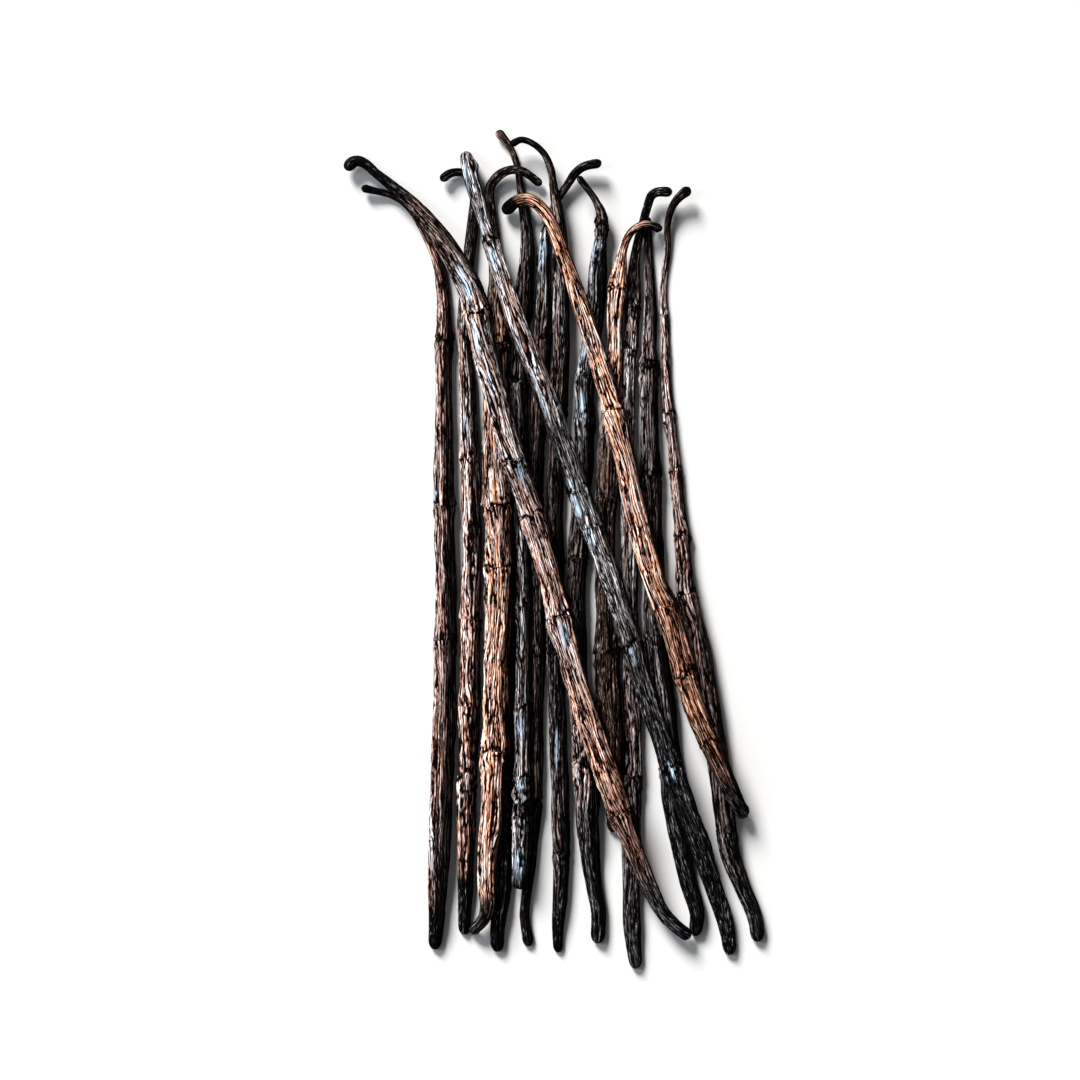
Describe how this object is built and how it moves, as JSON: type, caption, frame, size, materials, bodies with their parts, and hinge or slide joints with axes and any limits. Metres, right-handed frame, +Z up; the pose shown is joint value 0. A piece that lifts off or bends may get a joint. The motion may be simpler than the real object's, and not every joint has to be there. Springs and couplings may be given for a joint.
{
  "type": "bundle of vanilla pods",
  "caption": "Loose bundle of long, dark, wrinkled cured vanilla pods with curled stem ends, lying side by side on a surface with a few crossing on top.",
  "frame": {"origin": "centre of the heap's footprint, on the surface it lies on", "axes": "+Z up, +Y along the pods towards their stem ends, +X across the heap to the right"},
  "size_m": [0.0967, 0.1927, 0.013],
  "materials": {
    "black_skin": "wrinkled, waxy, satin",
    "dark_brown_skin": "wrinkled, waxy, satin",
    "grey_brown_skin": "wrinkled, waxy, satin",
    "tan_skin": "wrinkled, dry, satin"
  },
  "bodies": {
    "root": {"pod_left_buried": "black_skin", "pod_centre_slim": "black_skin", "pod_centre_short": "black_skin", "pod_left_outer": "dark_brown_skin", "pod_left_slim": "grey_brown_skin", "pod_centre_long": "black_skin", "pod_centre_stout": "black_skin", "pod_right_buried": "black_skin", "pod_right_long": "black_skin", "pod_right_outer": "dark_brown_skin", "pod_right_arched": "tan_skin", "pod_left_tan": "tan_skin", "pod_top_left": "grey_brown_skin", "pod_top_middle": "grey_brown_skin", "pod_top_right": "tan_skin"}
  },
  "joints": []
}
